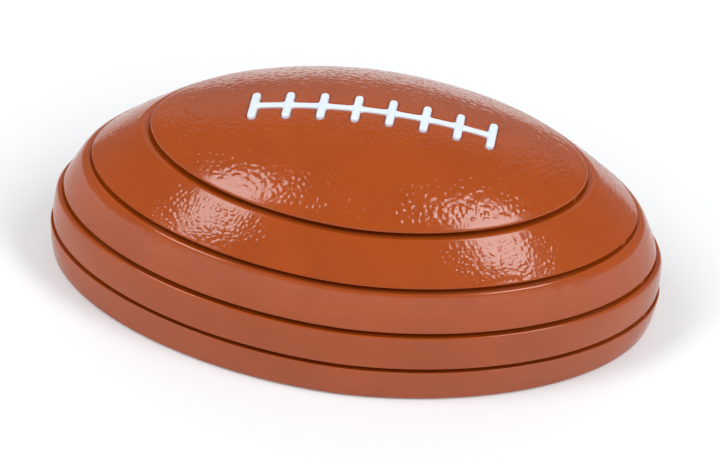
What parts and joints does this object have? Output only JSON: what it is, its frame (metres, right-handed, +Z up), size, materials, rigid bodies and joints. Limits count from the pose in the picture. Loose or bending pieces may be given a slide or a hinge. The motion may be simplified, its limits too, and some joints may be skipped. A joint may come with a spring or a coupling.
{
  "type": "football display case",
  "caption": "Stepped display case shaped like half a football: stacked oval trays swing out on one pivot under a domed cover with raised white laces.",
  "frame": {"origin": "middle of the oval footprint, on the surface that the feet stand on", "axes": "+X along the ball towards the end away from the pivot, +Y to the back, +Z up"},
  "size_m": [0.302, 0.1812, 0.1047],
  "materials": {
    "brown_plastic": "glossy orange-brown, moulded with a coarse leather pebble grain on the upper tiers",
    "white_plastic": "smooth, slightly bluish white",
    "liner_felt": "charcoal felt on foam",
    "nylon": "natural nylon",
    "steel": "zinc-plated",
    "brass": "knurled insert",
    "foot_rubber": "matte black"
  },
  "bodies": {
    "base": {"base_tray": "brown_plastic", "liner_base": "liner_felt", "glide_pads_base": "nylon", "hub_washer_base": "nylon", "pivot_sleeve": "steel", "feet": "foot_rubber"},
    "lower": {"lower_tray": "brown_plastic", "liner_lower": "liner_felt", "glide_pads_lower": "nylon", "hub_washer_lower": "nylon"},
    "middle": {"middle_tray": "brown_plastic", "liner_middle": "liner_felt", "glide_pads_middle": "nylon", "hub_washer_middle": "nylon"},
    "upper": {"upper_tray": "brown_plastic", "liner_upper": "liner_felt", "glide_pads_upper": "nylon", "hub_washer_upper": "nylon"},
    "cover": {"cover": "brown_plastic", "lacing": "white_plastic", "threaded_insert": "brass", "pivot_bolt": "steel", "bolt_washer": "steel", "spring_washer": "steel"}
  },
  "joints": [
    {"name": "lower_swing", "type": "hinge", "parent": "base", "child": "lower", "pos_m": [-0.072, 0, 0], "axis": [0, 0, -1], "range_deg": [0, 32]},
    {"name": "middle_swing", "type": "hinge", "parent": "lower", "child": "middle", "pos_m": [-0.072, 0, 0], "axis": [0, 0, -1], "range_deg": [0, 32]},
    {"name": "upper_swing", "type": "hinge", "parent": "middle", "child": "upper", "pos_m": [-0.072, 0, 0], "axis": [0, 0, -1], "range_deg": [0, 32]},
    {"name": "cover_swing", "type": "hinge", "parent": "upper", "child": "cover", "pos_m": [-0.072, 0, 0], "axis": [0, 0, -1], "range_deg": [0, 32]}
  ]
}
